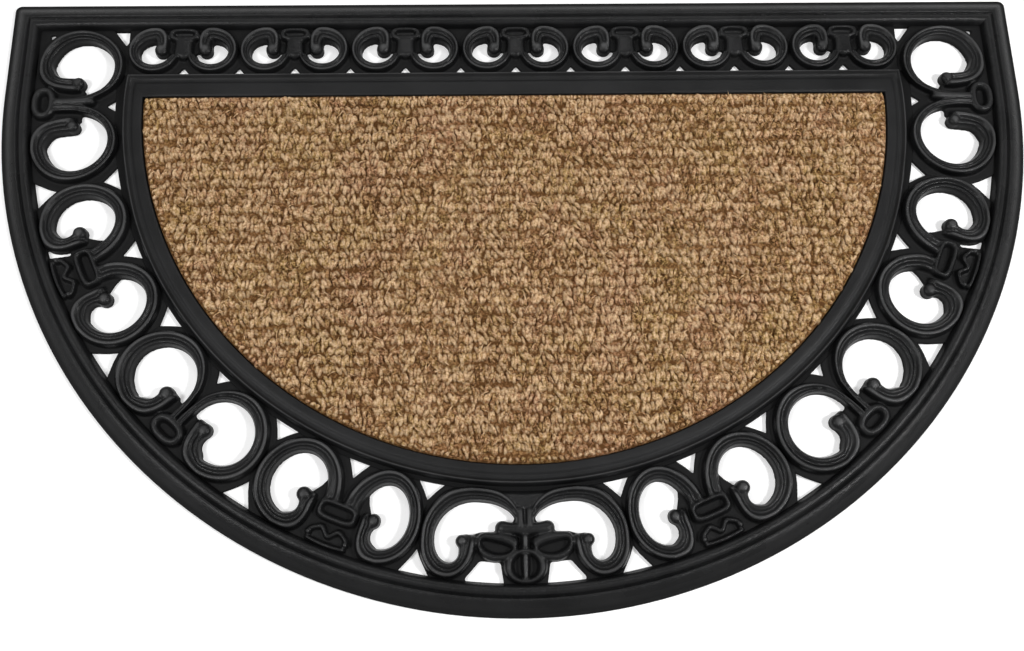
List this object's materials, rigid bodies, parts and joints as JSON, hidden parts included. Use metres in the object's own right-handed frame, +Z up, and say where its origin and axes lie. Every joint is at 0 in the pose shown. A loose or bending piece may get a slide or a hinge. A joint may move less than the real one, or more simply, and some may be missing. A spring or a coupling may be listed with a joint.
{
  "type": "half round coir doormat",
  "caption": "Half round doormat: a black moulded rubber mat with an openwork scroll border and a woven coir panel in its tray.",
  "frame": {"origin": "under the middle of the mat's bounding box, on the surface it lies on", "axes": "+X along the straight edge, +Y towards that straight edge, +Z up"},
  "size_m": [0.762, 0.4572, 0.0108],
  "materials": {
    "moulded_rubber": "soft satin, fine moulded grain",
    "woven_coir": "coarse looped coir yarn, matt"
  },
  "bodies": {
    "root": {"outer_rim": "moulded_rubber", "panel_tray": "moulded_rubber", "coir_panel": "woven_coir", "palmette_pair": "moulded_rubber", "scroll_pair_1_left": "moulded_rubber", "scroll_pair_1_right": "moulded_rubber", "scroll_pair_2_left": "moulded_rubber", "scroll_pair_2_right": "moulded_rubber", "scroll_pair_3_left": "moulded_rubber", "scroll_pair_3_right": "moulded_rubber", "corner_pair_left": "moulded_rubber", "corner_pair_right": "moulded_rubber", "small_pair_1": "moulded_rubber", "small_pair_2": "moulded_rubber", "small_pair_3": "moulded_rubber", "small_pair_4": "moulded_rubber", "small_pair_5": "moulded_rubber", "small_pair_6": "moulded_rubber", "small_pair_7": "moulded_rubber"}
  },
  "joints": []
}
